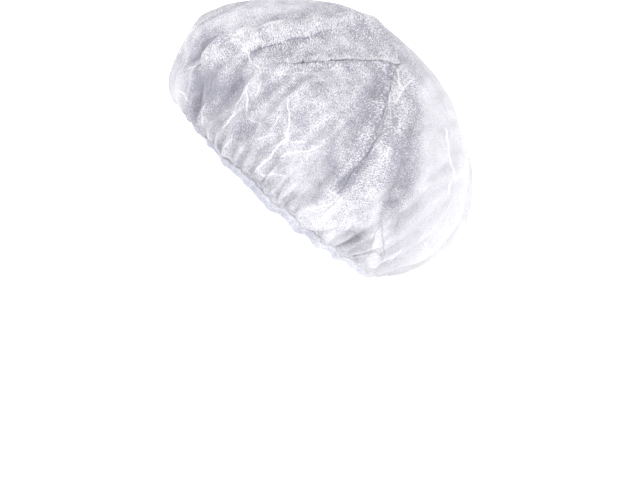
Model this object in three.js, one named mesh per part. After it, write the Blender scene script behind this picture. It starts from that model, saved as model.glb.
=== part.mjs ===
// Disposable bouffant hair cover cap, shown in the puffed form that it takes when worn.
// One round sheet of thin nonwoven fabric is gathered at its edge into a folded hem, and a
// flat elastic loop runs in that hem. Millimetres, +Z up. The forehead side faces -Y and the
// wearer's left is +X. The origin is the centre of the elastic rim, where the head goes in.
import * as THREE from 'three';

// The rim: the oval loop that grips the head from the forehead to the nape.
const RIM_LENGTH = 216;
const RIM_WIDTH = 154;
const RIM_TILT = THREE.MathUtils.degToRad(42);
const SIDE_DROP = 12;

// The puffed bag above the rim. Each overhang is how far it stands out past the rim.
const DOME_HEIGHT = 173;
const FRONT_OVERHANG = 45;
const SIDE_OVERHANG = 29;
const BACK_OVERHANG = 32;
const CLOTH_THICKNESS = 1.2;

// The folded hem and the elastic that it holds. The bag's edge stands in the hem's fold.
const ELASTIC_WIDTH = 4;
const ELASTIC_THICKNESS = 1;
const HEM_THICKNESS = 1;
const HEM_GRIP = 2.4;
const CLEARANCE = 0.3;

// Gathers just above the hem, and the folds that run up the bag.
const GATHER_COUNT = 27;
const GATHER_DEPTH = 3.4;
const GATHER_RISE = 66;
const SCALLOP_DEPTH = 1.6;
const FOLD_DEPTH = 8;
const FOLD_WIDTH = 14;

// The share of a gather's rise over which it swells, and of a fold's length at each end over
// which it dies out.
const GATHER_SWELL = 0.25;
const FOLD_END = 0.22;

// Smoothness of the faceted surfaces, and how much closer the rings lie near the hem.
const COLUMNS = 120;
const RINGS = 16;
const RING_CROWDING = 1.12;

// Sections from the rim up to the widest one. rise is a share of DOME_HEIGHT, and the other
// columns are shares of the three overhangs.
const FLARE = [
  { rise: 0.000, front: 0.00, side: 0.00, back: 0.00 },
  { rise: 0.035, front: 0.40, side: 0.10, back: 0.19 },
  { rise: 0.092, front: 0.64, side: 0.31, back: 0.44 },
  { rise: 0.173, front: 0.77, side: 0.59, back: 0.70 },
  { rise: 0.289, front: 0.89, side: 0.84, back: 0.91 },
  { rise: 0.405, front: 1.00, side: 1.00, back: 1.00 },
];

// Sections above the widest one, as shares of its reach to the front, side and back.
const CLOSING = [
  { rise: 0.520, front: 0.94, side: 0.99, back: 0.99 },
  { rise: 0.636, front: 0.84, side: 0.92, back: 0.91 },
  { rise: 0.751, front: 0.71, side: 0.80, back: 0.80 },
  { rise: 0.838, front: 0.60, side: 0.67, back: 0.66 },
  { rise: 0.908, front: 0.49, side: 0.54, back: 0.52 },
  { rise: 0.960, front: 0.35, side: 0.39, back: 0.38 },
  { rise: 0.989, front: 0.18, side: 0.21, back: 0.22 },
  { rise: 1.000, front: 0.00, side: 0.00, back: 0.00 },
];

// The main folds. low, middle and high are azimuths in degrees from the forehead round by the
// wearer's left. from and to are the fold's ends as shares of the way from rim to apex. ahead
// and behind are the widths of its two flanks as shares of FOLD_WIDTH, ahead being the side
// of the smaller azimuth. height is a share of FOLD_DEPTH, and a negative one is a hollow.
const FOLDS = [
  { low: 17, middle: 34, high: 38, from: 0.15, to: 0.90, ahead: 0.50, behind: 0.95, height: 1.00 },
  { low: 8, middle: 24, high: 29, from: 0.18, to: 0.78, ahead: 0.90, behind: 0.60, height: -0.75 },
  { low: 40, middle: 40, high: 36, from: 0.02, to: 0.34, ahead: 0.60, behind: 0.60, height: 0.55 },
  { low: 48, middle: 50, high: 53, from: 0.34, to: 0.74, ahead: 0.50, behind: 0.50, height: -0.60 },
  { low: 54, middle: 56, high: 51, from: 0.03, to: 0.40, ahead: 0.50, behind: 0.60, height: 0.55 },
  { low: 52, middle: 66, high: 92, from: 0.38, to: 0.92, ahead: 0.50, behind: 0.55, height: 0.75 },
  { low: 68, middle: 71, high: 74, from: 0.00, to: 0.26, ahead: 0.70, behind: 0.80, height: 0.60 },
  { low: 74, middle: 79, high: 86, from: 0.27, to: 0.52, ahead: 0.50, behind: 0.50, height: 0.40 },
  { low: 115, middle: 108, high: 94, from: 0.04, to: 0.93, ahead: 0.50, behind: 1.10, height: 1.00 },
  { low: 105, middle: 100, high: 96, from: 0.06, to: 0.60, ahead: 0.90, behind: 0.50, height: -0.60 },
  { low: 147, middle: 138, high: 126, from: 0.06, to: 0.34, ahead: 0.50, behind: 0.90, height: 0.75 },
  { low: 164, middle: 158, high: 146, from: 0.05, to: 0.80, ahead: 0.80, behind: 0.70, height: 0.50 },
  { low: 181, middle: 176, high: 168, from: 0.10, to: 0.66, ahead: 0.80, behind: 0.60, height: 0.45 },
  { low: 201, middle: 205, high: 222, from: 0.06, to: 0.84, ahead: 0.90, behind: 0.50, height: 0.70 },
  { low: 226, middle: 230, high: 236, from: 0.03, to: 0.50, ahead: 0.55, behind: 0.80, height: 0.60 },
  { low: 247, middle: 254, high: 266, from: 0.05, to: 0.92, ahead: 1.10, behind: 0.50, height: 0.95 },
  { low: 257, middle: 262, high: 268, from: 0.08, to: 0.56, ahead: 0.50, behind: 0.90, height: -0.50 },
  { low: 284, middle: 280, high: 276, from: 0.00, to: 0.42, ahead: 0.60, behind: 0.70, height: 0.60 },
  { low: 305, middle: 298, high: 284, from: 0.06, to: 0.88, ahead: 0.60, behind: 0.50, height: 0.80 },
  { low: 322, middle: 318, high: 312, from: 0.02, to: 0.40, ahead: 0.60, behind: 0.60, height: 0.55 },
  { low: 343, middle: 331, high: 322, from: 0.12, to: 0.88, ahead: 0.95, behind: 0.50, height: 0.90 },
  { low: 359, middle: 356, high: 350, from: 0.12, to: 0.60, ahead: 0.70, behind: 0.90, height: -0.45 },
];

const SECTIONS = [...FLARE, ...CLOSING];
const LAST_SECTION = SECTIONS.length - 1;
const CHANNEL = CLOTH_THICKNESS + 2 * CLEARANCE;
const HEM_HALF = CHANNEL / 2 + HEM_THICKNESS;
const ELASTIC_START = HEM_THICKNESS + CLEARANCE;
const CROWN_START = ELASTIC_START + ELASTIC_WIDTH + CLEARANCE;
const HEM_END = CROWN_START + HEM_GRIP;

// Smooth curve through one column of the section table, at a fractional row number.
function throughSections(reachOf, row) {
  const index = Math.min(Math.floor(row), LAST_SECTION - 1);
  const share = row - index;
  const at = (k) => {
    if (k < 0) return 2 * reachOf(0) - reachOf(1);
    if (k > LAST_SECTION) return 2 * reachOf(LAST_SECTION) - reachOf(LAST_SECTION - 1);
    return reachOf(k);
  };
  const [a, b, c, d] = [at(index - 1), at(index), at(index + 1), at(index + 2)];
  const bend = 2 * a - 5 * b + 4 * c - d;
  const twist = 3 * (b - c) + d - a;
  return b + 0.5 * share * (c - a + share * (bend + share * twist));
}

function sectionReach(side, row) {
  const halfRim = side === 'side' ? RIM_WIDTH / 2 : RIM_LENGTH / 2;
  const overhang = { front: FRONT_OVERHANG, side: SIDE_OVERHANG, back: BACK_OVERHANG }[side];
  return throughSections((k) => (k < FLARE.length
    ? halfRim + overhang * SECTIONS[k][side]
    : (halfRim + overhang) * SECTIONS[k][side]), row);
}

function sectionRise(row) {
  const apex = LAST_SECTION;
  const mirrored = (k) => SECTIONS[k > apex ? 2 * apex - k : k].rise * DOME_HEIGHT;
  return throughSections(mirrored, row);
}

// A point of the smooth bag in the rim's own frame: x to the wearer's left, y to the nape and
// z up the axis of the dome.
function bagPoint(azimuth, row) {
  const along = Math.cos(azimuth);
  const across = Math.sin(azimuth);
  const reach = sectionReach(along > 0 ? 'front' : 'back', row);
  const drop = SIDE_DROP * across * across * (1 - row / LAST_SECTION) ** 2;
  return new THREE.Vector3(
    across * sectionReach('side', row),
    -along * reach,
    sectionRise(row) - drop,
  );
}

function bagNormal(azimuth, row) {
  const step = 0.01;
  const higher = Math.min(row + step, LAST_SECTION - step);
  const lower = Math.max(higher - 2 * step, 0);
  const round = bagPoint(azimuth + step, row).sub(bagPoint(azimuth - step, row));
  const upward = bagPoint(azimuth, higher).sub(bagPoint(azimuth, lower));
  return round.cross(upward).normalize();
}

// The uneven wave of the gathers round the rim, from -1 to 1: flatter over the forehead, where
// the cloth is drawn tight, and fullest at the nape.
function gatherWave(azimuth) {
  const drift = 1.1 * Math.sin(2 * azimuth + 0.4) + 0.7 * Math.sin(5 * azimuth + 1.3);
  const strength = 0.74 - 0.18 * Math.cos(azimuth) + 0.08 * Math.sin(4 * azimuth - 0.9);
  return strength * Math.cos(GATHER_COUNT * azimuth + drift);
}

// The gathers are strongest a little above the hem and gone at GATHER_RISE along the cloth.
function gatherHeight(azimuth, alongCloth) {
  const peak = GATHER_SWELL * GATHER_RISE;
  const swell = THREE.MathUtils.smoothstep(alongCloth, -peak, peak);
  const fade = 1 - THREE.MathUtils.smoothstep(alongCloth, peak, GATHER_RISE);
  return GATHER_DEPTH * swell * fade * gatherWave(azimuth);
}

// How far one fold lifts the cloth at a point, from its distance to the fold's line.
function foldHeight(fold, azimuth, share, radius) {
  const along = (share - fold.from) / (fold.to - fold.from);
  if (along < 0 || along > 1) return 0;
  const bow = fold.middle - 0.5 * (fold.low + fold.high);
  const line = THREE.MathUtils.lerp(fold.low, fold.high, along) + 4 * bow * along * (1 - along);
  const turn = azimuth - THREE.MathUtils.degToRad(line);
  const nearest = Math.atan2(Math.sin(turn), Math.cos(turn));
  const flank = FOLD_WIDTH * (nearest < 0 ? fold.ahead : fold.behind);
  const ends = THREE.MathUtils.smoothstep(Math.min(along, 1 - along), 0, FOLD_END);
  const crease = Math.exp(-(Math.abs((nearest * radius) / flank) ** 1.6));
  return FOLD_DEPTH * fold.height * ends * crease;
}

// Where the cloth leaves the rim at one azimuth, and which way the hem stands and faces.
function rimFrame(azimuth) {
  const foot = bagPoint(azimuth, 0);
  const up = bagPoint(azimuth, 1).sub(foot).normalize();
  const out = bagNormal(azimuth, 0.5);
  out.addScaledVector(up, -out.dot(up)).normalize();
  foot.addScaledVector(out, gatherHeight(azimuth, 0));
  foot.addScaledVector(up, -SCALLOP_DEPTH * Math.abs(gatherWave(azimuth)));
  return { foot, up, out };
}

function hemPoint(frame, alongHem, outward) {
  return frame.foot.clone().addScaledVector(frame.up, alongHem).addScaledVector(frame.out, outward);
}

// The first row of the bag that is well clear of the hem at one azimuth.
function rowAboveHem(azimuth) {
  const foot = bagPoint(azimuth, 0);
  let row = 1;
  while (row < LAST_SECTION / 2 && bagPoint(azimuth, row).distanceTo(foot) < 1.25 * HEM_END) {
    row += 0.02;
  }
  return row;
}

function columnAzimuth(column) {
  return (2 * Math.PI * column) / COLUMNS;
}

// The closed surface over rings of equal length. The rings either close on each other, as the
// corners of a hem's cross-section do, or end in a point at both sides of the apex. Each cell
// is split along the diagonal whose ends are lifted most alike, so that no fold is cut across.
function closeRings(rings, poles, lifts) {
  const positions = rings.flat().concat(poles).flatMap((point) => point.toArray());
  const faces = [];
  const joined = poles.length ? rings.length - 1 : rings.length;
  for (let ring = 0; ring < joined; ring += 1) {
    const above = (ring + 1) % rings.length;
    const here = ring * COLUMNS;
    const next = above * COLUMNS;
    for (let column = 0; column < COLUMNS; column += 1) {
      const beside = (column + 1) % COLUMNS;
      const rising = Math.abs(lifts[ring][column] - lifts[above][beside]);
      const falling = Math.abs(lifts[ring][beside] - lifts[above][column]);
      if (rising <= falling) {
        faces.push(here + column, here + beside, next + beside);
        faces.push(here + column, next + beside, next + column);
      } else {
        faces.push(here + column, here + beside, next + column);
        faces.push(here + beside, next + beside, next + column);
      }
    }
  }
  if (poles.length) {
    const top = rings.length * COLUMNS;
    const lastRing = top - COLUMNS;
    for (let column = 0; column < COLUMNS; column += 1) {
      const beside = (column + 1) % COLUMNS;
      faces.push(lastRing + column, lastRing + beside, top + 1);
      faces.push(beside, column, top);
    }
  }
  const geometry = new THREE.BufferGeometry();
  geometry.setAttribute('position', new THREE.Float32BufferAttribute(positions, 3));
  geometry.setIndex(faces);
  geometry.computeVertexNormals();
  return geometry;
}

// The gathered bag: its edge stands in the hem, and the folds and gathers lift its surface.
function crownGeometry() {
  const outside = [];
  const inside = [];
  const lifts = [];
  const hemRing = (alongHem) => (azimuth) => {
    const frame = rimFrame(azimuth);
    return { point: hemPoint(frame, alongHem, 0), normal: frame.out, lift: 0 };
  };
  const lastRow = LAST_SECTION - 0.4;
  const bagRing = (rise) => (azimuth) => {
    const row = THREE.MathUtils.lerp(rowAboveHem(azimuth), lastRow, rise);
    const point = bagPoint(azimuth, row);
    const radius = Math.hypot(point.x, point.y);
    const share = row / LAST_SECTION;
    const alongCloth = point.distanceTo(bagPoint(azimuth, 0));
    const normal = bagNormal(azimuth, row);
    const lift = FOLDS.reduce(
      (sum, fold) => sum + foldHeight(fold, azimuth, share, radius),
      gatherHeight(azimuth, alongCloth),
    );
    return { point: point.addScaledVector(normal, lift), normal, lift };
  };
  const makers = [hemRing(CROWN_START), hemRing(HEM_END)];
  for (let ring = 0; ring < RINGS; ring += 1) {
    makers.push(bagRing((ring / (RINGS - 1)) ** RING_CROWDING));
  }
  for (const maker of makers) {
    const ring = Array.from({ length: COLUMNS }, (_, column) => maker(columnAzimuth(column)));
    const shifted = (distance) => ring.map(({ point, normal }) => point.clone()
      .addScaledVector(normal, distance));
    outside.push(shifted(CLOTH_THICKNESS / 2));
    inside.push(shifted(-CLOTH_THICKNESS / 2));
    lifts.push(ring.map(({ lift }) => lift));
  }
  const apex = bagPoint(0, LAST_SECTION);
  const poles = [-1, 1].map((side) => apex.clone().setZ(apex.z + side * CLOTH_THICKNESS / 2));
  return closeRings([...inside.reverse(), ...outside], poles, [...lifts.toReversed(), ...lifts]);
}

// The hem: a strip folded up round the elastic, whose two leaves grip the bag's edge.
function hemGeometry() {
  const corners = [
    [0, HEM_HALF], [HEM_END, HEM_HALF],
    [HEM_END, CHANNEL / 2], [HEM_THICKNESS, CHANNEL / 2],
    [HEM_THICKNESS, -CHANNEL / 2], [HEM_END, -CHANNEL / 2],
    [HEM_END, -HEM_HALF], [0, -HEM_HALF],
  ];
  return loopGeometry(corners);
}

// The elastic: a flat woven loop lying loose in the fold of the hem.
function elasticGeometry() {
  const end = ELASTIC_START + ELASTIC_WIDTH;
  const half = ELASTIC_THICKNESS / 2;
  return loopGeometry([[ELASTIC_START, half], [end, half], [end, -half], [ELASTIC_START, -half]]);
}

function loopGeometry(corners) {
  const frames = Array.from({ length: COLUMNS }, (_, column) => rimFrame(columnAzimuth(column)));
  const rings = corners.map(([alongHem, outward]) => frames
    .map((frame) => hemPoint(frame, alongHem, outward)));
  const level = new Array(COLUMNS).fill(0);
  return closeRings(rings, [], rings.map(() => level));
}

function addPiece(parent, name, geometry, colour, roughness) {
  const material = new THREE.MeshStandardMaterial({ color: colour, roughness, metalness: 0 });
  const mesh = new THREE.Mesh(geometry, material);
  mesh.name = name;
  parent.add(mesh);
}

const cap = new THREE.Group();
cap.rotation.x = -RIM_TILT;
addPiece(cap, 'crown', crownGeometry(), 0xeeeef5, 0.9);
addPiece(cap, 'hem', hemGeometry(), 0xf2f2f8, 0.85);
addPiece(cap, 'elastic', elasticGeometry(), 0xb9c2dc, 0.8);

const hairCover = new THREE.Group();
hairCover.add(cap);

export default hairCover;
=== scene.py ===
import math

import bmesh
import bpy
import numpy as np
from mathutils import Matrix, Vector


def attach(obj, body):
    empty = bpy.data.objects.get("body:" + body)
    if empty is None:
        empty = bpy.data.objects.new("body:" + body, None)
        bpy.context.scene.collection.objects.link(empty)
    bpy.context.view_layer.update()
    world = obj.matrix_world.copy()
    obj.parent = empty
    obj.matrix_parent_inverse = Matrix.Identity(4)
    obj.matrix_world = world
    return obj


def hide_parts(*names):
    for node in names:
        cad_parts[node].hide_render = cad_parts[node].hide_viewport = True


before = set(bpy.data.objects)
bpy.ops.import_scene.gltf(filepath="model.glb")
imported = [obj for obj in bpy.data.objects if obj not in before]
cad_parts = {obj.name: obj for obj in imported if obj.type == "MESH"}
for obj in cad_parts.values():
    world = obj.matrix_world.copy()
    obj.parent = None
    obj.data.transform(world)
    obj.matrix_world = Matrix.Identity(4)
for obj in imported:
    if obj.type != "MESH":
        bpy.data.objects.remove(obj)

scene = bpy.context.scene
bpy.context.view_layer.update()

# Camera. The photograph shows one side of the cap from its own height, with its front on the
# left, so the camera stands level on the +X side. The cap spans pixels 172 to 471 across and
# 2 to 275 down, and the centre of its elastic rim falls on pixel 276, 193.
PHOTO_WIDTH = 640
PHOTO_HEIGHT = 480
MM_PER_PIXEL = 0.885
RIM_CENTRE_PIXEL = (276, 193)
LENS_MM = 85
SENSOR_MM = 36
camera_data = bpy.data.cameras.new("photo_camera")
camera_data.lens = LENS_MM
camera_data.sensor_width = SENSOR_MM
camera_data.clip_start = 0.01
view_width = PHOTO_WIDTH * MM_PER_PIXEL / 1000
camera = bpy.data.objects.new("photo_camera", camera_data)
camera.location = (
    view_width * LENS_MM / SENSOR_MM,
    (PHOTO_WIDTH / 2 - RIM_CENTRE_PIXEL[0]) * MM_PER_PIXEL / 1000,
    (RIM_CENTRE_PIXEL[1] - PHOTO_HEIGHT / 2) * MM_PER_PIXEL / 1000,
)
camera.rotation_euler = (math.pi / 2, 0, math.pi / 2)
scene.collection.objects.link(camera)
scene.camera = camera


# Crown. The real piece is one round of thin spunbonded polypropylene, cut flat and gathered
# along its edge, so that it puffs out. It is cut flat here too, laid over the puffed form with
# its lapped folds and gathers, and then left to crumple as cloth with its edge held.
RIM_LENGTH = 0.216
RIM_WIDTH = 0.154
RIM_TILT = math.radians(42)
SIDE_DROP = 0.012
DOME_HEIGHT = 0.173
OVERHANG = {"front": 0.045, "side": 0.029, "back": 0.032}
HALF_RIM = {"front": RIM_LENGTH / 2, "side": RIM_WIDTH / 2, "back": RIM_LENGTH / 2}

# Sections of the puffed form, from the rim to the apex: rise as a share of DOME_HEIGHT, then
# front, side and back. Up to the widest section these are shares of the overhangs, and above
# it shares of the widest section's own reach.
FLARE = [
    (0.000, 0.00, 0.00, 0.00),
    (0.035, 0.40, 0.10, 0.19),
    (0.092, 0.64, 0.31, 0.44),
    (0.173, 0.77, 0.59, 0.70),
    (0.289, 0.89, 0.84, 0.91),
    (0.405, 1.00, 1.00, 1.00),
]
CLOSING = [
    (0.520, 0.94, 0.99, 0.99),
    (0.636, 0.84, 0.92, 0.91),
    (0.751, 0.71, 0.80, 0.80),
    (0.838, 0.60, 0.67, 0.66),
    (0.908, 0.49, 0.54, 0.52),
    (0.960, 0.35, 0.39, 0.38),
    (0.989, 0.18, 0.21, 0.22),
    (1.000, 0.00, 0.00, 0.00),
]
COLUMN = {"front": 1, "side": 2, "back": 3}
LAST_SECTION = len(FLARE) + len(CLOSING) - 1


def through_sections(values, row, mirrored):
    """A smooth curve through one column of the sections, at fractional row numbers."""
    before = 2 * values[0] - values[1]
    after = values[-2] if mirrored else 2 * values[-1] - values[-2]
    padded = np.array([before, *values, after])
    index = np.clip(np.floor(row).astype(int), 0, len(values) - 2)
    share = row - index
    a, b, c, d = (padded[index + k] for k in range(4))
    bend = 2 * a - 5 * b + 4 * c - d
    twist = 3 * (b - c) + d - a
    return b + 0.5 * share * (c - a + share * (bend + share * twist))


def section_reach(side, row):
    column = COLUMN[side]
    flare = [HALF_RIM[side] + OVERHANG[side] * section[column] for section in FLARE]
    closing = [(HALF_RIM[side] + OVERHANG[side]) * section[column] for section in CLOSING]
    return through_sections(flare + closing, row, mirrored=False)


def bag_point(azimuth, row):
    """A point of the smooth bag in the rim's frame: x across, y to the back, z up the dome."""
    along, across = np.cos(azimuth), np.sin(azimuth)
    reach = np.where(along > 0, section_reach("front", row), section_reach("back", row))
    rise = [section[0] * DOME_HEIGHT for section in FLARE + CLOSING]
    drop = SIDE_DROP * across**2 * (1 - row / LAST_SECTION) ** 2
    lift = through_sections(rise, row, mirrored=True) - drop
    return np.stack([across * section_reach("side", row), -along * reach, lift], axis=-1)


def bag_normal(azimuth, row):
    step = 0.01
    higher = np.minimum(row + step, LAST_SECTION - step)
    lower = np.maximum(higher - 2 * step, 0)
    around = bag_point(azimuth + step, row) - bag_point(azimuth - step, row)
    upward = bag_point(azimuth, higher) - bag_point(azimuth, lower)
    normal = np.cross(around, upward)
    return normal / np.linalg.norm(normal, axis=-1, keepdims=True)


def smooth(value, low, high):
    """Rises softly from 0 at low to 1 at high."""
    share = np.clip((value - low) / (high - low), 0, 1)
    return share * share * (3 - 2 * share)


def wander(along, waves):
    """A slow uneven drift: the sum of waves, each given as (height, rate, phase)."""
    return sum(height * np.sin(rate * along + phase) for height, rate, phase in waves)


def add_object(mesh):
    placed = bpy.data.objects.new(mesh.name, mesh)
    scene.collection.objects.link(placed)
    return placed


def mesh_points(mesh):
    points = np.zeros((len(mesh.vertices), 3))
    mesh.vertices.foreach_get("co", points.ravel())
    return points


def corner_vertices(mesh):
    vertices = np.zeros(len(mesh.loops), dtype=int)
    mesh.loops.foreach_get("vertex_index", vertices)
    return vertices


# The cloth as it is cut: a flat round, less the strip that is folded into the hem.
FLAT_WIDTH = 0.610
HEM_STRIP = 0.016
FLAT_RADIUS = FLAT_WIDTH / 2 - HEM_STRIP
CELLS = 212

bm = bmesh.new()
bmesh.ops.create_grid(bm, x_segments=CELLS, y_segments=CELLS, size=1)
crown_mesh = bpy.data.meshes.new("crown_cloth")
bm.to_mesh(crown_mesh)
bm.free()
crown = add_object(crown_mesh)

# The square grid is rounded off to the disc: each of its square rings turns into a circle, so
# the cells stay near square and the edge is one clean loop.
square = mesh_points(crown_mesh)
x, y = square[:, 0], square[:, 1]
wide = np.abs(x) > np.abs(y)
ring = np.where(wide, x, y)
other = np.where(wide, y, x)
lean = np.pi / 4 * other / np.where(ring == 0, 1, ring)
turn = np.where(wide, lean, np.pi / 2 - lean)
flat = FLAT_RADIUS * np.stack([ring * np.cos(turn), ring * np.sin(turn), 0 * ring], axis=-1)
flat_radius = np.hypot(flat[:, 0], flat[:, 1])
azimuth = np.arctan2(flat[:, 0], -flat[:, 1]) % (2 * np.pi)

# Every point of the cloth finds its place on the bag at an equal share of the way up, which is
# looked up in a table of the arcs from the rim to the apex.
TABLE_TURNS = 180
TABLE_ROWS = 520
TABLE_SHARES = 300
table_azimuths = np.linspace(0, 2 * np.pi, TABLE_TURNS + 1)
table_rows = np.linspace(0, LAST_SECTION, TABLE_ROWS + 1)
every_row = np.broadcast_to(table_rows, (TABLE_TURNS + 1, TABLE_ROWS + 1))
lines = bag_point(table_azimuths[:, None], every_row)
steps = np.linalg.norm(np.diff(lines, axis=1), axis=-1)
arcs = np.concatenate([np.zeros((TABLE_TURNS + 1, 1)), np.cumsum(steps, axis=1)], axis=1)
shares = np.linspace(0, 1, TABLE_SHARES + 1)
row_at = np.array([np.interp(shares * arc[-1], arc, table_rows) for arc in arcs])
arc_total = arcs[:, -1]


def row_on_bag(azimuth, share):
    a = azimuth / (2 * np.pi) * TABLE_TURNS
    s = np.clip(share, 0, 1) * TABLE_SHARES
    a0 = np.clip(np.floor(a).astype(int), 0, TABLE_TURNS - 1)
    s0 = np.clip(np.floor(s).astype(int), 0, TABLE_SHARES - 1)
    fa, fs = a - a0, s - s0
    low = row_at[a0, s0] * (1 - fs) + row_at[a0, s0 + 1] * fs
    high = row_at[a0 + 1, s0] * (1 - fs) + row_at[a0 + 1, s0 + 1] * fs
    return low * (1 - fa) + high * fa


# The main folds, each listed: azimuths low, middle and high in degrees from the front round by
# the +X side, then the shares of the way up at which it starts and ends, the widths of its flank
# towards the smaller azimuth and of the other one, both as shares of FOLD_WIDTH, its height as a
# share of FOLD_DEPTH, and how far it is laid over, as a share of FOLD_WIDTH too, minus where its
# free edge lies towards the smaller azimuth.
FOLD_DEPTH = 0.008
FOLD_WIDTH = 0.014
FOLD_END = 0.22
FOLD_ROUNDNESS = 1.6
FOLDS = [
    (31, 51, 54, 0.20, 0.92, 0.50, 0.95, 1.00, -1.20),
    (20, 37, 41, 0.18, 0.64, 0.80, 0.60, -0.65, 0.00),
    (46, 43, 36, 0.07, 0.31, 0.50, 0.60, -0.60, 0.00),
    (52, 51, 47, 0.02, 0.37, 0.60, 0.60, 0.60, 0.00),
    (55, 56, 55, 0.12, 0.38, 0.70, 0.50, -0.80, 0.00),
    (59, 63, 59, 0.02, 0.43, 0.50, 0.80, 0.45, 0.00),
    (63, 76, 95, 0.41, 0.75, 0.50, 0.55, 0.45, 0.42),
    (68, 71, 74, 0.00, 0.26, 0.70, 0.80, 0.60, 0.00),
    (78, 82, 90, 0.24, 0.52, 0.90, 0.90, 0.40, 0.00),
    (114, 109, 91, 0.04, 0.80, 0.50, 1.10, 0.85, -0.85),
    (105, 100, 89, 0.06, 0.72, 0.70, 0.50, -0.70, 0.00),
    (150, 140, 126, 0.11, 0.34, 0.50, 0.50, 0.40, 0.00),
    (130, 118, 107, 0.24, 0.72, 0.80, 0.80, -0.80, 0.00),
    (143, 133, 124, 0.05, 0.26, 0.80, 0.80, -0.25, 0.00),
    (163, 158, 146, 0.17, 0.80, 0.80, 0.70, 0.50, 0.45),
    (181, 176, 168, 0.10, 0.66, 0.80, 0.60, 0.45, 0.00),
    (201, 205, 222, 0.06, 0.84, 0.90, 0.50, 0.70, 0.60),
    (226, 230, 236, 0.03, 0.50, 0.55, 0.80, 0.60, -0.45),
    (247, 254, 266, 0.05, 0.92, 1.10, 0.50, 0.95, 0.85),
    (257, 262, 268, 0.08, 0.56, 0.50, 0.90, -0.50, 0.00),
    (284, 280, 276, 0.00, 0.42, 0.60, 0.70, 0.60, 0.45),
    (305, 298, 284, 0.06, 0.88, 0.60, 0.50, 0.80, -0.50),
    (322, 318, 312, 0.02, 0.40, 0.60, 0.60, 0.55, 0.45),
    (343, 331, 322, 0.12, 0.88, 0.95, 0.50, 0.90, 0.90),
    (359, 356, 350, 0.12, 0.60, 0.70, 0.90, -0.45, 0.00),
]


def beside_fold(fold, azimuth, share, radius):
    """How far each point lies to one side of a fold's line, and how much of the fold is there."""
    low, middle, high, start, end = fold[:5]
    along = (share - start) / (end - start)
    bow = middle - 0.5 * (low + high)
    line = low + (high - low) * along + 4 * bow * along * (1 - along)
    turned = azimuth - np.radians(line)
    nearest = np.arctan2(np.sin(turned), np.cos(turned))
    return nearest * radius, smooth(np.minimum(along, 1 - along), 0, FOLD_END)


def fold_heights(azimuth, share, radius):
    total = np.zeros_like(azimuth)
    for fold in FOLDS:
        ahead, behind, height = fold[5:8]
        offset, ends = beside_fold(fold, azimuth, share, radius)
        flank = FOLD_WIDTH * np.where(offset < 0, ahead, behind)
        bulge = np.exp(-np.abs(offset / flank) ** FOLD_ROUNDNESS)
        total += FOLD_DEPTH * height * ends * bulge
    return total


# Along a lapped fold the cloth runs forward, back under itself and forward again. At a pull
# of 3 the upper edge and the lower edge come to lie 1.34 times the reach apart. The numbers
# below are in that reach, upwards from the fold's line.
LAP_PULL = 3
LAP_SPAN = 1.34
LAYER_GAP = 0.0011
STAND_OFF_REACH = 1.6
STAND_OFF_TURN = 0.35
NEAR_LAP_REACH = 1.5
LAYERS_START = (-0.1, 0.3)
LAYERS_END = (0.9, 1.7)
FULL_LAP = (0.2, 0.8)


def lay_over(azimuth, share, radius):
    """The azimuths after lapping, how far the lapped sheets stand off, where three lie, and where
    laps are.
    """
    turned = azimuth.copy()
    stand_off = np.zeros_like(azimuth)
    threefold = np.zeros_like(azimuth)
    near_lap = np.zeros_like(azimuth)
    for fold in FOLDS:
        lap = fold[8]
        if lap == 0:
            continue
        offset, ends = beside_fold(fold, azimuth, share, radius)
        reach = abs(lap) * FOLD_WIDTH / LAP_SPAN
        turned -= LAP_PULL * ends * np.exp(-((offset / reach) ** 2)) * offset / radius
        upper = -math.copysign(1, lap) * offset / reach
        beside = np.exp(-((offset / reach / STAND_OFF_REACH) ** 2))
        stand_off += LAYER_GAP * ends * beside * np.tanh(upper / STAND_OFF_TURN)
        covered = smooth(upper, *LAYERS_START) * (1 - smooth(upper, *LAYERS_END))
        threefold = np.maximum(threefold, covered * smooth(ends, *FULL_LAP))
        near_line = np.exp(-((offset / reach / NEAR_LAP_REACH) ** 4))
        near_lap = np.maximum(near_lap, ends * near_line)
    return turned, stand_off, threefold, near_lap


# Gathers. The elastic draws the edge into pleats that fade out up the cloth, and lets the rim
# sag between them. Each wave drifts and changes its height on the way round, so that no two
# pleats are the same.
GATHER_COUNT = 27
GATHER_DRIFT = [(1.1, 2, 0.4), (0.7, 5, 1.3)]
GATHER_STRENGTH = 0.74
GATHER_UNEVEN = [(-0.18, 1, math.pi / 2), (0.08, 4, -0.9)]
GATHER_DEPTH = 0.0034
GATHER_RISE = 0.066
GATHER_SWELL = 0.25
SCALLOP_DEPTH = 0.0016
HEM_SAG = 0.0022
SAG_COUNT = 19
SAG_DRIFT = [(1.6, 3, 0), (0.9, 5, 2)]


def gather_wave(azimuth):
    strength = GATHER_STRENGTH + wander(azimuth, GATHER_UNEVEN)
    return strength * np.cos(GATHER_COUNT * azimuth + wander(azimuth, GATHER_DRIFT))


def gather_height(azimuth, along_cloth):
    peak = GATHER_SWELL * GATHER_RISE
    swell = smooth(along_cloth, -peak, peak)
    fade = 1 - smooth(along_cloth, peak, GATHER_RISE)
    return GATHER_DEPTH * swell * fade * gather_wave(azimuth)


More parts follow.
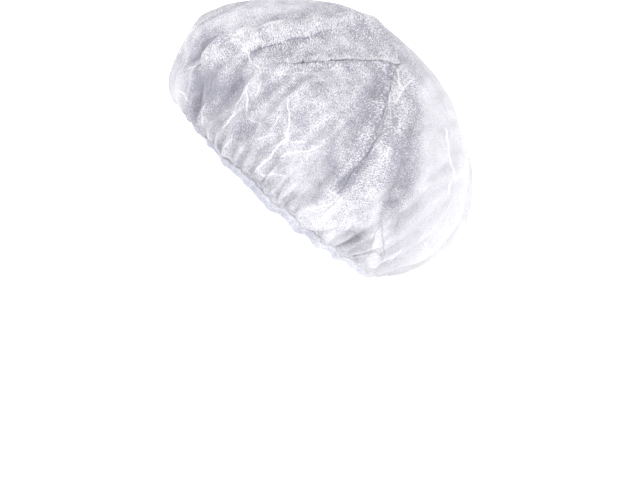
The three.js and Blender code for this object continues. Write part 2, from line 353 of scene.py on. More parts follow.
def rim_frame(azimuth):
    """Where the cloth leaves the rim, and which way the hem stands and faces there."""
    first = np.zeros_like(azimuth)
    foot = bag_point(azimuth, first)
    up = bag_point(azimuth, first + 1) - foot
    up /= np.linalg.norm(up, axis=-1, keepdims=True)
    out = bag_normal(azimuth, first + 0.5)
    out -= up * (out * up).sum(axis=-1, keepdims=True)
    out /= np.linalg.norm(out, axis=-1, keepdims=True)
    foot = foot + out * gather_height(azimuth, first)[:, None]
    sag = 0.5 - 0.5 * np.cos(SAG_COUNT * azimuth + wander(azimuth, SAG_DRIFT))
    foot = foot - up * (SCALLOP_DEPTH * np.abs(gather_wave(azimuth)) + HEM_SAG * sag)[:, None]
    return foot, up, out


def from_rim_frame(points):
    c, s = math.cos(RIM_TILT), math.sin(RIM_TILT)
    x, y, z = points[:, 0], points[:, 1], points[:, 2]
    return np.stack([x, y * c + z * s, z * c - y * s], axis=-1)


# The middle is drawn into soft streaks that rise towards the back of the crown: wave length
# in pixels of the photograph, rise in degrees, and phase. Each bends a little over a length in
# pixels and comes and goes over a number of its own wave lengths. STREAK_SIDES keeps them to the
# two sides, and STREAK_START and STREAK_END are shares of the way up.
FAR_SIDE_SHIFT = (-14, 9)
STREAKS = [(17, 36, 0.3), (25, 52, 1.9), (13, 45, 4.0)]
STREAK_DEPTH = 0.0022
STREAK_BEND = 1.3
STREAK_BEND_LENGTH = 31
STREAK_RUN = 1.7
STREAK_SIDES = (0.25, 0.75)
STREAK_START = (0.06, 0.20)
STREAK_END = (0.72, 0.92)


def photo_pixels(points):
    """Where points show in the photograph, those of the far side as if mirrored to the near one."""
    away = camera.location.x - np.abs(points[:, 0])
    scale = camera.location.x / away / MM_PER_PIXEL * 1000
    across = PHOTO_WIDTH / 2 + (points[:, 1] - camera.location.y) * scale
    down = PHOTO_HEIGHT / 2 - (points[:, 2] - camera.location.z) * scale
    far = points[:, 0] < 0
    return across - far * FAR_SIDE_SHIFT[0], down - far * FAR_SIDE_SHIFT[1]


def streak_height(points, azimuth, share):
    across, down = photo_pixels(points)
    total = np.zeros(len(points))
    for wave, rise, phase in STREAKS:
        c, s = math.cos(math.radians(rise)), math.sin(math.radians(rise))
        along, offset = across * c - down * s, across * s + down * c
        bend = STREAK_BEND * np.sin(along / STREAK_BEND_LENGTH + phase)
        bent = 2 * np.pi * offset / wave + phase + bend
        strength = 0.5 + 0.5 * np.sin(along / (STREAK_RUN * wave) + 2 * phase)
        total += np.cos(bent) * strength / len(STREAKS)
    sides = smooth(np.abs(np.sin(azimuth)), *STREAK_SIDES)
    return total * sides * smooth(share, *STREAK_START) * (1 - smooth(share, *STREAK_END))


# Finer gathers between the main ones: how many go round, how deep they are, and the distances
# along the cloth at which they rise and fade. Their drift starts at a phase of their own count.
# HEM_INSIDE is how far above the rim the crown's edge lies in the hem, and HEM_BLEND where the
# cloth leaves the hem for the bag.
HEM_INSIDE = 0.0056
HEM_BLEND = (0.002, 0.012)
FINE_GATHERS = [
    (71, 0.0026, 0.000, 0.014, 0.020, 0.058),
    (34, 0.0022, 0.016, 0.050, 0.060, 0.140),
]
FINE_STRENGTH = 0.75
APEX_RADIUS = 0.004
share = 1 - flat_radius / FLAT_RADIUS
row = row_on_bag(azimuth, share)
base = bag_point(azimuth, row)
radius = np.maximum(np.hypot(base[:, 0], base[:, 1]), APEX_RADIUS)
along_cloth = share * np.interp(azimuth, table_azimuths, arc_total)
turned, stand_off, threefold, near_lap = lay_over(azimuth, row / LAST_SECTION, radius)
base = bag_point(turned, row)
normal = bag_normal(turned, row)
normal[flat_radius < 1e-6] = (0, 0, 1)
ridges = fold_heights(turned, row / LAST_SECTION, radius)
streaks = streak_height(from_rim_frame(base), azimuth, row / LAST_SECTION)
lift = ridges + stand_off + gather_height(azimuth, along_cloth) + STREAK_DEPTH * streaks
for count, depth, rise_from, rise_to, fade_from, fade_to in FINE_GATHERS:
    swell = smooth(along_cloth, rise_from, rise_to) * (1 - smooth(along_cloth, fade_from, fade_to))
    drift = wander(azimuth, [(1.7, 3, count), (1.1, 7, 2)])
    strength = FINE_STRENGTH + wander(azimuth, [(1 - FINE_STRENGTH, 5, count)])
    lift = lift + depth * swell * strength * np.cos(count * azimuth + drift)
formed = base + normal * lift[:, None]
foot, up, out = rim_frame(azimuth)
in_hem = foot + up * (HEM_INSIDE + along_cloth)[:, None]
blend = smooth(along_cloth, *HEM_BLEND)[:, None]
formed = in_hem * (1 - blend) + formed * blend
formed = from_rim_frame(formed)

uv_layer = crown_mesh.uv_layers.new(name="flat_cloth")
flat_corners = flat[corner_vertices(crown_mesh), :2] + FLAT_WIDTH / 2
uv_layer.data.foreach_set("uv", flat_corners.ravel())
crown_mesh.vertices.foreach_set("co", formed.ravel())
crown_mesh.update()

# Sharp creases that the folded cap kept from its packing, and those where folds meet, each given
# by two ends as pixels of the photograph, and how bright the crease is, minus for a dark one. The
# brightness is painted: bright creases are painted highlights, dark ones painted shadow lines.
# The far side repeats them shifted by FAR_SIDE_SHIFT, because the photograph doesn't show it. A
# crease wavers a little to both sides and fades towards its ends.
CREASES = [
    (202, 60, 215, 50, -0.5),
    (215, 50, 232, 37, -0.6),
    (232, 37, 253, 31, -0.6),
    (253, 31, 287, 21, -0.7),
    (287, 21, 318, 15, -0.7),
    (318, 15, 350, 15, -0.6),
    (242, 44, 253, 63, 1.3),
    (253, 63, 262, 70, 1.1),
    (246, 53, 285, 42, -1.3),
    (285, 42, 328, 32, -1.3),
    (257, 66, 325, 60, -0.5),
    (391, 70, 388, 107, -0.6),
    (388, 107, 382, 132, -0.7),
    (382, 132, 358, 165, -0.9),
    (358, 165, 336, 197, -1.0),
    (275, 75, 340, 69, 0.5),
    (261, 79, 256, 98, 0.7),
    (247, 87, 247, 115, 0.8),
    (289, 97, 289, 143, 0.8),
    (246, 117, 263, 126, 0.7),
    (271, 130, 283, 113, 0.6),
    (201, 43, 219, 33, 0.5),
    (187, 71, 224, 48, 0.7),
    (210, 71, 221, 55, 0.7),
    (205, 102, 210, 71, 0.7),
    (203, 128, 205, 102, 0.6),
    (207, 99, 213, 77, -0.7),
    (179, 89, 192, 104, 0.6),
    (224, 130, 236, 109, 0.7),
    (236, 109, 249, 83, 0.8),
    (240, 98, 246, 83, -0.6),
    (226, 148, 236, 130, 0.6),
    (254, 141, 278, 133, 0.7),
    (255, 173, 288, 136, 0.9),
    (278, 156, 317, 148, 0.8),
    (258, 173, 286, 176, 0.8),
    (277, 143, 306, 142, 0.7),
    (413, 77, 393, 105, 1.0),
    (397, 62, 400, 93, 0.8),
    (386, 82, 391, 105, 0.8),
    (395, 44, 398, 63, 0.6),
    (327, 186, 342, 200, 0.8),
    (314, 208, 342, 200, 0.8),
    (342, 231, 363, 238, -0.35),
    (363, 238, 385, 262, -0.35),
    (358, 218, 343, 232, 0.7),
    (381, 219, 384, 257, -0.6),
    (380, 220, 367, 258, -0.5),
    (367, 259, 383, 257, 0.6),
    (444, 128, 455, 181, 0.6),
    (466, 164, 455, 181, 0.6),
    (453, 180, 448, 196, 0.6),
    (424, 241, 427, 255, 0.6),
    (388, 263, 403, 247, 0.5),
]
CREASE_CATCH = 4.0
CREASE_FADE = (-1.5, 5.0)


def crease_lines(points):
    """Each point's pixels to one side of its nearest crease, and that crease's strength there: a
    painted highlight above 0, a painted shadow line below.
    """
    across, down = photo_pixels(points)
    side = np.full(len(points), CREASE_CATCH)
    strength = np.zeros(len(points))
    for x_from, y_from, x_to, y_to, bright in CREASES:
        length = math.hypot(x_to - x_from, y_to - y_from)
        along_x, along_y = (x_to - x_from) / length, (y_to - y_from) / length
        along = (across - x_from) * along_x + (down - y_from) * along_y
        offset = (across - x_from) * along_y - (down - y_from) * along_x
        offset += wander(along, [(0.8, 0.22, x_from), (0.4, 0.51, y_from)])
        inside = smooth(np.minimum(along, length - along), *CREASE_FADE)
        nearer = (np.abs(offset) < np.abs(side)) & (inside > 0)
        side = np.where(nearer, offset, side)
        strength = np.where(nearer, inside * bright, strength)
    return side, strength


# Places where the cloth is painted whiter or greyer, each given by its centre and half sizes as
# pixels of the photograph, the tilt of the first half size in degrees, positive where it falls to
# the right, and how much whiter it is. They stand partly for cloth that lies slack in more than
# one layer or taut in a single one, and partly for painted light on flaps and painted shade in
# hollows and along the edges of folds.
PATCHES = [
    (300, 168, 19, 17, 0, 0.23),
    (310, 203, 34, 12, 32, 0.16),
    (222, 118, 16, 20, 45, 0.10),
    (366, 166, 58, 9, -60, -0.16),
    (352, 200, 26, 13, -50, -0.10),
    (376, 244, 4, 17, 15, 0.28),
    (290, 14, 30, 6, -12, 0.12),
    (298, 32, 54, 6, -14, 0.17),
    (262, 165, 20, 9, 45, 0.10),
    (285, 199, 12, 7, 20, -0.25),
    (204, 86, 8, 19, 15, -0.54),
    (220, 82, 8, 18, 20, -0.36),
    (236, 91, 8, 15, 20, -0.28),
    (238, 130, 12, 11, 0, -0.34),
    (205, 40, 13, 10, -40, -0.36),
    (240, 20, 60, 9, -18, 0.30),
    (188, 32, 12, 12, 0, 0.20),
    (177, 90, 7, 26, 0, 0.30),
    (350, 28, 34, 9, 8, -0.17),
    (384, 139, 34, 7, -60, -0.13),
    (385, 82, 16, 18, 30, -0.13),
    (402, 165, 9, 44, -8, -0.24),
    (350, 236, 17, 12, 20, -0.20),
    (392, 222, 9, 20, 0, -0.16),
    (325, 118, 24, 34, 35, 0.06),
    (415, 70, 26, 12, 50, -0.12),
]
PATCH_SPREAD = 1.3


# Partly the white of the layers, partly painted light and painted shade.
def patches(points):
    across, down = photo_pixels(points)
    total = np.zeros(len(points))
    for x_centre, y_centre, half, other_half, tilt, whiter in PATCHES:
        c, s = math.cos(math.radians(tilt)), math.sin(math.radians(tilt))
        first = ((across - x_centre) * c + (down - y_centre) * s) / half
        second = ((down - y_centre) * c - (across - x_centre) * s) / other_half
        total += whiter * np.exp(-(first**2 + second**2) / PATCH_SPREAD)
    return total


def store_values(mesh, stored):
    """Keeps a value for each point of a cloth under each name, for its material to read."""
    for name, values in stored.items():
        layer = mesh.attributes.new(name, "FLOAT", "POINT")
        every_point = values + np.zeros(len(mesh.vertices))
        layer.data.foreach_set("value", every_point.astype(np.float32))


# Four values at each point of the cloth that its material reads: how white it is, as the layers
# make it, with painted light on the crests of the folds and streaks and painted shade in their
# hollows; how strongly the filaments show; and the creases, with their painted highlights and
# shadow lines. The bag's free back and underside are paler and smoother than its middle, and the
# taut front edge is greyer.
FREE_CENTRE = (0.012, 0.073)
FREE_REACH = (0.108, 0.112)
FREE_EDGE = (0.80, 1.25)
SLACK_EDGE = (0.55, 0.85)
TAUT_FRONT = (-0.1, 0.6)
TAUT_TOP = (0.10, 0.34)
BARE_WHITE = 0.37
WHITE_GAIN = 1.24
LEAST_FILAMENTS = 0.15
behind = np.maximum((formed[:, 1] - FREE_CENTRE[0]) / FREE_REACH[0], 0)
beneath = np.maximum((FREE_CENTRE[1] - formed[:, 2]) / FREE_REACH[1], 0)
free_bag = smooth(behind**3 + beneath**3, *FREE_EDGE)
slack = smooth(beneath, *SLACK_EDGE) * (1 - free_bag)
taut = smooth(np.cos(azimuth), *TAUT_FRONT) * (1 - smooth(row / LAST_SECTION, *TAUT_TOP))
side, strength = crease_lines(formed)

# What each trait of the cloth adds to its white, and what it adds to its filaments. The
# heights of the streaks and the folds add painted light on their crests and painted shade in
# their hollows, and the patches are partly painted light and shade.
TRAITS_AND_PAINTED_SHADE = [
    # Painted shade: the streaks' hollows greyer and their crests whiter.
    (streaks * (1 - free_bag), 0.20, 0.00),
    # Painted shade: the folds' hollows greyer and their crests whiter.
    (ridges / FOLD_DEPTH, 0.20, 0.00),
    (threefold, 0.09, -0.45),
    (free_bag, 0.21, -0.75),
    (slack, 0.20, -0.30),
    (taut, -0.05, -0.50),
    (patches(formed), 1.00, -1.20),
]
white = BARE_WHITE + sum(trait * add for trait, add, _ in TRAITS_AND_PAINTED_SHADE)
filaments = 1 + sum(trait * add for trait, _, add in TRAITS_AND_PAINTED_SHADE)
crown_values = {
    "layers_and_painted_shade": WHITE_GAIN * white,
    "filaments": np.clip(filaments, LEAST_FILAMENTS, 1),
    "crease_side": side,
    "crease_light_and_shade": strength,
}
store_values(crown_mesh, crown_values)

# The cloth holds more length than the form it is laid on, so it buckles into small crumples.
# Only those are kept: what swells over more than CRUMPLE_WIDTH cells is taken off again, so
# the bag's own form stays, and no point goes further than CRUMPLE_REACH.
GROWTH = 0.09
CRUMPLE_REACH = 0.005
CRUMPLE_WIDTH = 17
HELD_EDGE = 0.006
LOOSE_HOLD = 0.02
LAP_CALM = 0.85
SIM_FRAMES = 16
edge_share = smooth(along_cloth, 0.0, HELD_EDGE)
hold = crown.vertex_groups.new(name="held_edge")
weights = np.round(LOOSE_HOLD + (1 - LOOSE_HOLD) * (1 - edge_share), 2)
for weight in np.unique(weights):
    hold.add(np.flatnonzero(weights == weight).tolist(), float(weight), "REPLACE")
cloth = crown.modifiers.new("crumple", "CLOTH")
cloth.settings.quality = 5
cloth.settings.mass = 0.15
cloth.settings.tension_stiffness = 15
cloth.settings.compression_stiffness = 15
cloth.settings.shear_stiffness = 5
cloth.settings.bending_model = "ANGULAR"
cloth.settings.bending_stiffness = 0.3
cloth.settings.air_damping = 4
cloth.settings.vertex_group_mass = "held_edge"
cloth.settings.pin_stiffness = 1
cloth.settings.shrink_min = -GROWTH
cloth.settings.shrink_max = -GROWTH
cloth.settings.effector_weights.gravity = 0
cloth.collision_settings.use_collision = False
cloth.collision_settings.use_self_collision = False
for number in range(1, SIM_FRAMES + 1):
    scene.frame_set(number)
shaped = crown.evaluated_get(bpy.context.evaluated_depsgraph_get())
moved = mesh_points(shaped.data) - formed
crown.modifiers.clear()
crown.vertex_groups.clear()
scene.frame_set(1)
moved = moved.reshape(CELLS + 1, CELLS + 1, 3)
near_cells = np.arange(CRUMPLE_WIDTH) - CRUMPLE_WIDTH // 2
window = np.clip(np.arange(CELLS + 1)[:, None] + near_cells, 0, CELLS)
swollen = moved
for axis in (0, 1, 0, 1):
    swollen = np.take(swollen, window, axis=axis).mean(axis=axis + 1)
moved = (moved - swollen).reshape(-1, 3)
length = np.linalg.norm(moved, axis=1)
moved *= np.minimum(1, CRUMPLE_REACH / np.maximum(length, 1e-9))[:, None]
moved *= (edge_share * (1 - LAP_CALM * near_lap))[:, None]
crown_mesh.vertices.foreach_set("co", (formed + moved).ravel())
crown_mesh.update()
CLOTH_THICKNESS = 0.0003


def add_wall(piece):
    piece.data.shade_smooth()
    wall = piece.modifiers.new("cloth_wall", "SOLIDIFY")
    wall.thickness = CLOTH_THICKNESS
    wall.offset = 0


def linear(hex_colour):
    """An sRGB hex colour as the linear values that a shader takes."""
    values = [int(hex_colour[k : k + 2], 16) / 255 for k in (1, 3, 5)]
    return [v / 12.92 if v <= 0.04045 else ((v + 0.055) / 1.055) ** 2.4 for v in values] + [1.0]


def new_material(name):
    material = bpy.data.materials.new(name)
    material.use_nodes = True
    material.node_tree.nodes.clear()
    return material, material.node_tree


def add_node(tree, kind, inputs, **settings):
    """Adds a node, gives its inputs values or other nodes' outputs, and returns its outputs."""
    node = tree.nodes.new(kind)
    for name, value in settings.items():
        setattr(node, name, value)
    for name, value in inputs.items():
        if isinstance(value, bpy.types.NodeSocket):
            tree.links.new(value, node.inputs[name])
        else:
            node.inputs[name].default_value = value
    return node.outputs


# Spunbonded polypropylene: endless white filaments laid at random and bonded by heat. One layer
# is a thin cloudy web, grey with what shows through it, and several layers are near white. The
# filaments are finer than a pixel, so they are drawn as the bundles that the eye takes in, about
# a millimetre wide and slanting to both sides. MEAN_WEB is the mean of the web and its clouds.
SINGLE_LAYER = "#9D9CA9"
FULL_LAYERS = "#E9E8EB"
BUNDLE = 0.0009
BUNDLE_LENGTH = 0.0026
BUNDLE_ANGLES = (0.5, -0.65)
SWAY_LENGTH = 0.025
SWAY_REACH = 0.004
GRAIN = 0.0008
GRAIN_SHARE = 0.9
CLOUD = 0.016
CLOUD_SHARE = 0.45
MEAN_WEB = 1.255
FLECK_CONTRAST = 3.6
CRINKLE = 0.0075
CREASE_HALF_WIDTH = 1.4
CREASE_PAINTED_LIGHT = 0.75
CRINKLE_RELIEF = 1.2
WEB_RELIEF = 0.4
CREASE_RELIEF = 0.8
RELIEF_DEPTH = 0.0006
THROUGH_SHARE = 0.4


def spunbond(name, single, full):
    """The cloth in the colours of one layer and of many, from the values stored on its mesh."""
    material, tree = new_material(name)
    cloth_place = add_node(tree, "ShaderNodeUVMap", {}, uv_map="flat_cloth")["UV"]
    stored = {}
    for value in crown_values:
        stored[value] = add_node(tree, "ShaderNodeAttribute", {}, attribute_name=value)["Fac"]

    # The web: two sets of bundles that sway, with finer grain and slow clouds over them.
    flat_noise = {"noise_dimensions": "2D"}
    sway = {"Vector": cloth_place, "Scale": 1 / SWAY_LENGTH, "Detail": 2.0}
    sway = add_node(tree, "ShaderNodeTexNoise", sway, **flat_noise)["Color"]
    push = {0: sway, "Scale": SWAY_REACH}
    push = add_node(tree, "ShaderNodeVectorMath", push, operation="SCALE")[0]
    place = {0: cloth_place, 1: push}
    place = add_node(tree, "ShaderNodeVectorMath", place, operation="ADD")[0]
    webs = []
    for angle in BUNDLE_ANGLES:
        stretch = (1 / BUNDLE_LENGTH, 1 / BUNDLE, 1)
        slant = {"Vector": place, "Rotation": (0, 0, angle), "Scale": stretch}
        slant = add_node(tree, "ShaderNodeMapping", slant)[0]
        bundles = {"Vector": slant, "Scale": 1.0, "Detail": 2.0, "Roughness": 0.7}
        webs.append(add_node(tree, "ShaderNodeTexNoise", bundles, **flat_noise)[0])
    grain = {"Vector": cloth_place, "Scale": 1 / GRAIN, "Detail": 1.0}
    grain = add_node(tree, "ShaderNodeTexNoise", grain, **flat_noise)[0]
    clouds = {"Vector": cloth_place, "Scale": 1 / CLOUD, "Detail": 3.0, "Roughness": 0.6}
    clouds = add_node(tree, "ShaderNodeTexNoise", clouds, **flat_noise)[0]
    web = add_node(tree, "ShaderNodeMath", {0: webs[0], 1: webs[1]}, operation="MAXIMUM")[0]
    web = {0: grain, 1: GRAIN_SHARE, 2: web}
    web = add_node(tree, "ShaderNodeMath", web, operation="MULTIPLY_ADD")[0]

    # The creases: a line of full strength at offset 0 that runs out at CREASE_HALF_WIDTH. Its
    # strength paints a highlight where it is above 0 and a shadow line where it is below.
    aside = add_node(tree, "ShaderNodeMath", {0: stored["crease_side"]}, operation="ABSOLUTE")[0]
    aside = {0: aside, 1: CREASE_HALF_WIDTH}
    aside = add_node(tree, "ShaderNodeMath", aside, operation="DIVIDE")[0]
    line = {0: 1.0, 1: aside}
    line = add_node(tree, "ShaderNodeMath", line, operation="SUBTRACT", use_clamp=True)[0]
    line = {0: line, 1: stored["crease_light_and_shade"]}
    line = add_node(tree, "ShaderNodeMath", line, operation="MULTIPLY")[0]
    on_line = add_node(tree, "ShaderNodeMath", {0: line}, operation="ABSOLUTE")[0]
    off_line = {0: 1.0, 1: on_line}
    off_line = add_node(tree, "ShaderNodeMath", off_line, operation="SUBTRACT", use_clamp=True)[0]

    # The colour: the stored white of the layers, with its painted light and shade of the folds and
    # streaks, flecks of the web, and the creases' painted highlights and shadow lines on it.
    flecks = {0: clouds, 1: CLOUD_SHARE, 2: web}
    flecks = add_node(tree, "ShaderNodeMath", flecks, operation="MULTIPLY_ADD")[0]
    flecks = {0: flecks, 1: MEAN_WEB}
    flecks = add_node(tree, "ShaderNodeMath", flecks, operation="SUBTRACT")[0]
    for share_shown in (stored["filaments"], off_line):
        shown = {0: flecks, 1: share_shown}
        flecks = add_node(tree, "ShaderNodeMath", shown, operation="MULTIPLY")[0]
    tone = {0: flecks, 1: FLECK_CONTRAST, 2: stored["layers_and_painted_shade"]}
    tone = add_node(tree, "ShaderNodeMath", tone, operation="MULTIPLY_ADD")[0]
    # The creases' painted highlights and painted shadow lines go into the colour here.
    tone = {0: line, 1: CREASE_PAINTED_LIGHT, 2: tone}
    tone = add_node(tree, "ShaderNodeMath", tone, operation="MULTIPLY_ADD", use_clamp=True)[0]
    colour = {0: tone, 6: linear(single), 7: linear(full)}
    colour = add_node(tree, "ShaderNodeMix", colour, data_type="RGBA")[2]

    # The relief: crinkled cells a few millimetres wide, the web's bundles and the creases.
    cells = {"Vector": place, "Scale": 1 / CRINKLE}
    edges = {"voronoi_dimensions": "2D", "feature": "DISTANCE_TO_EDGE"}
    relief = add_node(tree, "ShaderNodeTexVoronoi", cells, **edges)["Distance"]
    relief = {0: relief, 1: CRINKLE_RELIEF}
    relief = add_node(tree, "ShaderNodeMath", relief, operation="MULTIPLY")[0]
    for pattern, height in ((web, WEB_RELIEF), (line, CREASE_RELIEF)):
        raised = {0: pattern, 1: height, 2: relief}
        relief = add_node(tree, "ShaderNodeMath", raised, operation="MULTIPLY_ADD")[0]
    bump = {"Height": relief, "Distance": RELIEF_DEPTH, "Strength": 0.8}
    bump = add_node(tree, "ShaderNodeBump", bump)[0]

    # Matt with a little sheen, as polypropylene filaments are, and light passes through it.
    front = {"Base Color": colour, "Roughness": 0.62, "Specular IOR Level": 0.25}
    front.update({"Normal": bump, "Sheen Weight": 0.2})
    front = add_node(tree, "ShaderNodeBsdfPrincipled", front)[0]
    through = {"Color": colour, "Normal": bump}
    through = add_node(tree, "ShaderNodeBsdfTranslucent", through)[0]
    both = {0: THROUGH_SHARE, 1: front, 2: through}
    both = add_node(tree, "ShaderNodeMixShader", both)[0]
    add_node(tree, "ShaderNodeOutputMaterial", {"Surface": both})
    return material


add_wall(crown)
crown_mesh.materials.append(spunbond("spunbonded_polypropylene", SINGLE_LAYER, FULL_LAYERS))
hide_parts("crown")
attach(crown, "root")


# Hem. The edge of the real cap is turned up over the elastic and closed by heat, so that it is
# a soft tube of two thin layers, gathered into small scallops by the elastic. The tube is the
# same polypropylene, a little greyer where it lies taut over the elastic.
HEM_HEIGHT = 0.0080
HEM_HALF = 0.0011
HEM_ROUND = 0.018
HEM_BOTTOM = 0.22
HEM_WAVES = 83
HEM_DRIFT = [(2.1, 4, 0), (1.4, 9, 1)]
HEM_PUCKER = 0.0003
HEM_EDGE_PUCKER = 0.0005
HEM_PUCKER_FROM = 0.002
HEM_CLOSE_FROM = 0.0055
HEM_CLOSE = 0.58
HEM_AROUND = 720
HEM_ROWS = 14
HEM_SINGLE_LAYER = "#9D9EAF"
HEM_FULL_LAYERS = "#E9E9ED"
HEM_WHITE = 0.60
HEM_FRONT_GREY = 0.22
ELASTIC_GREY = 0.16
ELASTIC_START = (-0.001, 0.0012)
ELASTIC_END = (0.0042, 0.0056)
HEM_FILAMENTS = 0.35
MEAN_RIM_RADIUS = 0.093


def loop_round_rim(name, around, rows, once_round, profile):
    """A closed band along the rim. The profile gives how far out and up each of its levels lies,
    and once_round is the band's own length across. Returns its mesh, and the azimuth and level
    of each of its points."""
    bm = bmesh.new()
    bmesh.ops.create_cone(bm, cap_ends=False, segments=around, radius1=1, radius2=1, depth=1)
    upright = [edge for edge in bm.edges if abs(edge.verts[0].co.z - edge.verts[1].co.z) > 0.5]
    bmesh.ops.subdivide_edges(bm, edges=upright, cuts=rows - 1, use_grid_fill=True)
    mesh = bpy.data.meshes.new(name)
    bm.to_mesh(mesh)
    bm.free()
    points = mesh_points(mesh)
    turn = np.arctan2(points[:, 0], -points[:, 1]) % (2 * np.pi)
    level = points[:, 2] + 0.5
    outward, upward = profile(turn, level)
    foot, up, out = rim_frame(turn)
    placed = from_rim_frame(foot + out * outward[:, None] + up * upward[:, None])
    mesh.vertices.foreach_set("co", placed.ravel())
    mesh.update()
    corners = corner_vertices(mesh)
    corner_turn = turn[corners].reshape(-1, 4)
    past_seam = corner_turn.max(axis=1, keepdims=True) - corner_turn > np.pi
    corner_turn = (corner_turn + 2 * np.pi * past_seam).ravel()
    layer = mesh.uv_layers.new(name="flat_cloth")
    flat_band = np.stack([corner_turn * MEAN_RIM_RADIUS, level[corners] * once_round], axis=-1)
    layer.data.foreach_set("uv", flat_band.ravel())
    return mesh, turn, level


def above_bottom(level):
    """How far up the hem a level lies, on its outside or its inside, from 0 to 1."""
    return (np.abs(level - 0.5) - HEM_BOTTOM / 2) / (0.5 - HEM_BOTTOM / 2)


def hem_profile(turn, level):
    """Up the outside, from the turned edge at the top, round the bottom and up the inside."""
    pucker = np.cos(HEM_WAVES * turn + wander(turn, HEM_DRIFT))
    angle = np.pi * (level - 0.5) / HEM_BOTTOM
    bottom = np.abs(level - 0.5) < HEM_BOTTOM / 2
    outward = np.where(bottom, -np.sin(angle), -np.sign(level - 0.5)) * HEM_HALF
    straight = HEM_HALF + above_bottom(level) * (HEM_HEIGHT - HEM_HALF)
    upward = np.where(bottom, HEM_HALF * (1 - np.cos(angle)), straight)
    pull_in = smooth(upward, HEM_CLOSE_FROM, HEM_HEIGHT)
    outward = outward * (1 - HEM_CLOSE * pull_in)
    outward += HEM_PUCKER * pucker * smooth(upward, 0, HEM_PUCKER_FROM)
    return outward, upward + HEM_EDGE_PUCKER * pucker * pull_in


hem_mesh, hem_turn, hem_level = loop_round_rim(
    "hem_tube", HEM_AROUND, HEM_ROWS, HEM_ROUND, hem_profile
)
hem = add_object(hem_mesh)
add_wall(hem)
hem_rise = np.maximum(above_bottom(hem_level), 0) * HEM_HEIGHT
over_elastic = smooth(hem_rise, *ELASTIC_START) * (1 - smooth(hem_rise, *ELASTIC_END))
hem_values = {
    "layers_and_painted_shade": HEM_WHITE - HEM_FRONT_GREY * np.cos(hem_turn) - ELASTIC_GREY * over_elastic,
    "filaments": HEM_FILAMENTS,
    "crease_side": CREASE_CATCH,
    "crease_light_and_shade": 0.0,
}
store_values(hem_mesh, hem_values)
hem_mesh.materials.append(spunbond("heat_closed_hem", HEM_SINGLE_LAYER, HEM_FULL_LAYERS))
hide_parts("hem")
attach(hem, "root")


# Elastic. A flat braided band in a loop, stretched while the hem was closed round it, so that
# it lies plain in the tube and gathers the cloth. It is pale blue and shows through the hem.
ELASTIC_WIDTH = 0.004
ELASTIC_HALF = 0.0004
ELASTIC_FOOT = 0.0013
ELASTIC_ROUND = 0.0096
FACE_CURVE = 0.5
EDGE_CURVE = 0.8
ELASTIC_AROUND = 480
ELASTIC_ROWS = 16
RIB_SPACING = 0.0009
RIB_DEPTH = 0.0003
RIB_LOW = "#A9B3CC"
RIB_HIGH = "#CBD2E2"


def elastic_profile(turn, level):
    """Once round a flat band with rounded edges."""
    angle = 2 * np.pi * level
    c, s = np.cos(angle), np.sin(angle)
    outward = ELASTIC_HALF * np.sign(c) * np.abs(c) ** FACE_CURVE
    upward = ELASTIC_FOOT + ELASTIC_WIDTH / 2 * (1 + np.sign(s) * np.abs(s) ** EDGE_CURVE)
    return outward, upward


elastic_mesh = loop_round_rim(
    "elastic_band", ELASTIC_AROUND, ELASTIC_ROWS, ELASTIC_ROUND, elastic_profile
)[0]
bm = bmesh.new()
bm.from_mesh(elastic_mesh)
bmesh.ops.remove_doubles(bm, verts=bm.verts, dist=0.00001)
bmesh.ops.recalc_face_normals(bm, faces=bm.faces)
bm.to_mesh(elastic_mesh)
bm.free()
elastic_mesh.shade_smooth()
elastic = add_object(elastic_mesh)

# Elastic braid of polyester yarn over rubber: matt, with slanted ribs 0.9 mm apart. At scale 1
# the diagonal bands of the wave texture lie 2 pi / (10 sqrt 2) apart.
material, tree = new_material("braided_elastic")
place = add_node(tree, "ShaderNodeUVMap", {}, uv_map="flat_cloth")["UV"]
rib_scale = 2 * math.pi / (10 * math.sqrt(2) * RIB_SPACING)
ribs = {"Vector": place, "Scale": rib_scale, "Distortion": 1.0}
ribs = add_node(tree, "ShaderNodeTexWave", ribs, bands_direction="DIAGONAL")["Fac"]
colour = {0: ribs, 6: linear(RIB_LOW), 7: linear(RIB_HIGH)}
colour = add_node(tree, "ShaderNodeMix", colour, data_type="RGBA")[2]
bump = add_node(tree, "ShaderNodeBump", {"Height": ribs, "Distance": RIB_DEPTH})[0]
yarn = {"Base Color": colour, "Roughness": 0.7, "Normal": bump}
yarn = add_node(tree, "ShaderNodeBsdfPrincipled", yarn)[0]
add_node(tree, "ShaderNodeOutputMaterial", {"Surface": yarn})
elastic_mesh.materials.append(material)
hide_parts("elastic")
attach(elastic, "root")


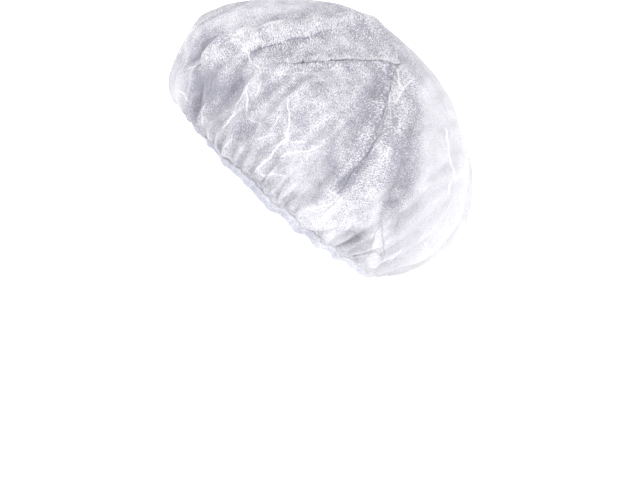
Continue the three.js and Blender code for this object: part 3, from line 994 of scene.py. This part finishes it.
# Studio. A seamless white paper sweep stands round the cap and a little below it, under a wide
# soft sky and two large soft lamps.
FLOOR_LEVEL = -0.6
FLOOR_RADIUS = 2.2
SWEEP_CURVE = 1.0
SWEEP_TOP = 3.5
CURVE_STEPS = 12
SWEEP_STEPS = 64
PAPER_GLOW = 0.60
bm = bmesh.new()
profile = [bm.verts.new((r, 0, FLOOR_LEVEL)) for r in (0, FLOOR_RADIUS)]
for k in range(1, CURVE_STEPS + 1):
    angle = math.pi / 2 * k / CURVE_STEPS
    outwards = FLOOR_RADIUS + SWEEP_CURVE * math.sin(angle)
    upwards = FLOOR_LEVEL + SWEEP_CURVE * (1 - math.cos(angle))
    profile.append(bm.verts.new((outwards, 0, upwards)))
profile.append(bm.verts.new((FLOOR_RADIUS + SWEEP_CURVE, 0, SWEEP_TOP)))
edges = [bm.edges.new(pair) for pair in zip(profile, profile[1:])]
bmesh.ops.spin(
    bm,
    geom=profile + edges,
    cent=(0, 0, 0),
    axis=(0, 0, 1),
    angle=2 * math.pi,
    steps=SWEEP_STEPS,
    use_merge=True,
)
bmesh.ops.remove_doubles(bm, verts=bm.verts, dist=0.0001)
bmesh.ops.recalc_face_normals(bm, faces=bm.faces)
stage_mesh = bpy.data.meshes.new("studio_sweep")
bm.to_mesh(stage_mesh)
bm.free()
stage_mesh.shade_smooth()
stage = add_object(stage_mesh)
material, tree = new_material("white_paper_sweep")
paper = {"Base Color": linear("#FFFFFF"), "Roughness": 0.9}
paper.update({"Emission Color": (1, 1, 1, 1), "Emission Strength": PAPER_GLOW})
paper = add_node(tree, "ShaderNodeBsdfPrincipled", paper)[0]
add_node(tree, "ShaderNodeOutputMaterial", {"Surface": paper})
stage_mesh.materials.append(material)

LAMP_AIM = Vector((0, 0.03, 0.05))
LAMPS = {"key": ((0.7, -1.1, 1.2), 0.8, 7), "top": ((-0.3, 0.1, 1.6), 1.0, 3)}
SKY_STRENGTH = 0.45
for name, (place, size, power) in LAMPS.items():
    data = bpy.data.lights.new(name, "AREA")
    data.size = size
    data.energy = power
    lamp = bpy.data.objects.new(name, data)
    lamp.location = place
    lamp.rotation_euler = (Vector(place) - LAMP_AIM).to_track_quat("Z", "Y").to_euler()
    scene.collection.objects.link(lamp)
world = bpy.data.worlds.new("soft_sky")
scene.world = world
world.use_nodes = True
sky = world.node_tree.nodes["Background"].inputs
sky["Color"].default_value = (1, 1, 1, 1)
sky["Strength"].default_value = SKY_STRENGTH
scene.view_settings.view_transform = "Standard"
